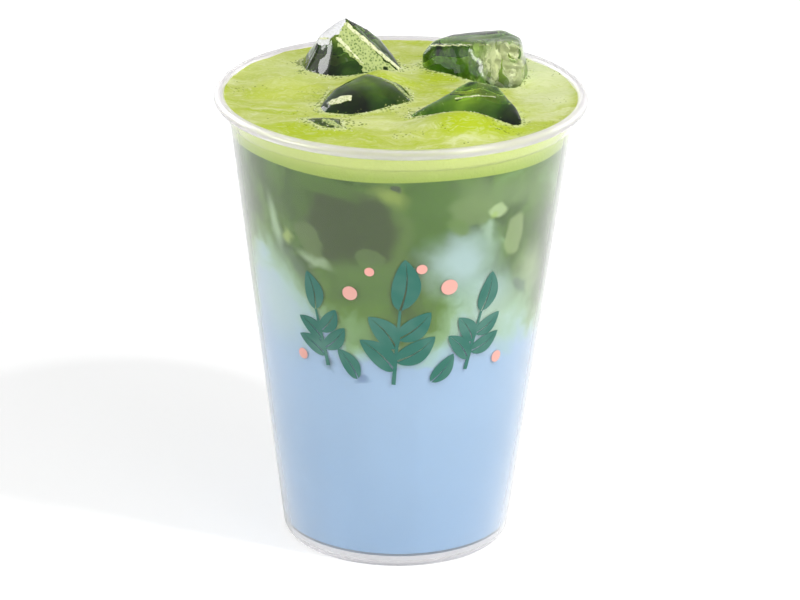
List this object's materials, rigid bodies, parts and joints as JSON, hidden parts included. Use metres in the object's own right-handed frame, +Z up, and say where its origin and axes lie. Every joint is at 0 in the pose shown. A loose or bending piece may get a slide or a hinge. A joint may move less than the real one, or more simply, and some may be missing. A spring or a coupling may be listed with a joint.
{
  "type": "iced matcha latte in a clear plastic cup",
  "caption": "Tapered clear plastic tumbler with a rolled rim, filled with light blue milk under green tea, a layer of lime-green foam and ice standing out of it.",
  "frame": {"origin": "centre of the ring that the cup stands on, at table level", "axes": "+Z up along the cup's axis, -Y towards the front with the print"},
  "size_m": [0.095, 0.095, 0.13],
  "materials": {
    "clear_plastic": "clear polypropylene, moulded, faintly milky",
    "blue_milk": null,
    "green_matcha": null,
    "lime_foam": null,
    "ice": "wet, half-melted clear ice"
  },
  "bodies": {
    "root": {"cup": "clear_plastic", "milk": "blue_milk", "matcha": "green_matcha", "foam": "lime_foam", "ice_1": "ice", "ice_2": "ice", "ice_3": "ice", "ice_4": "ice", "ice_5": "ice"}
  },
  "joints": []
}
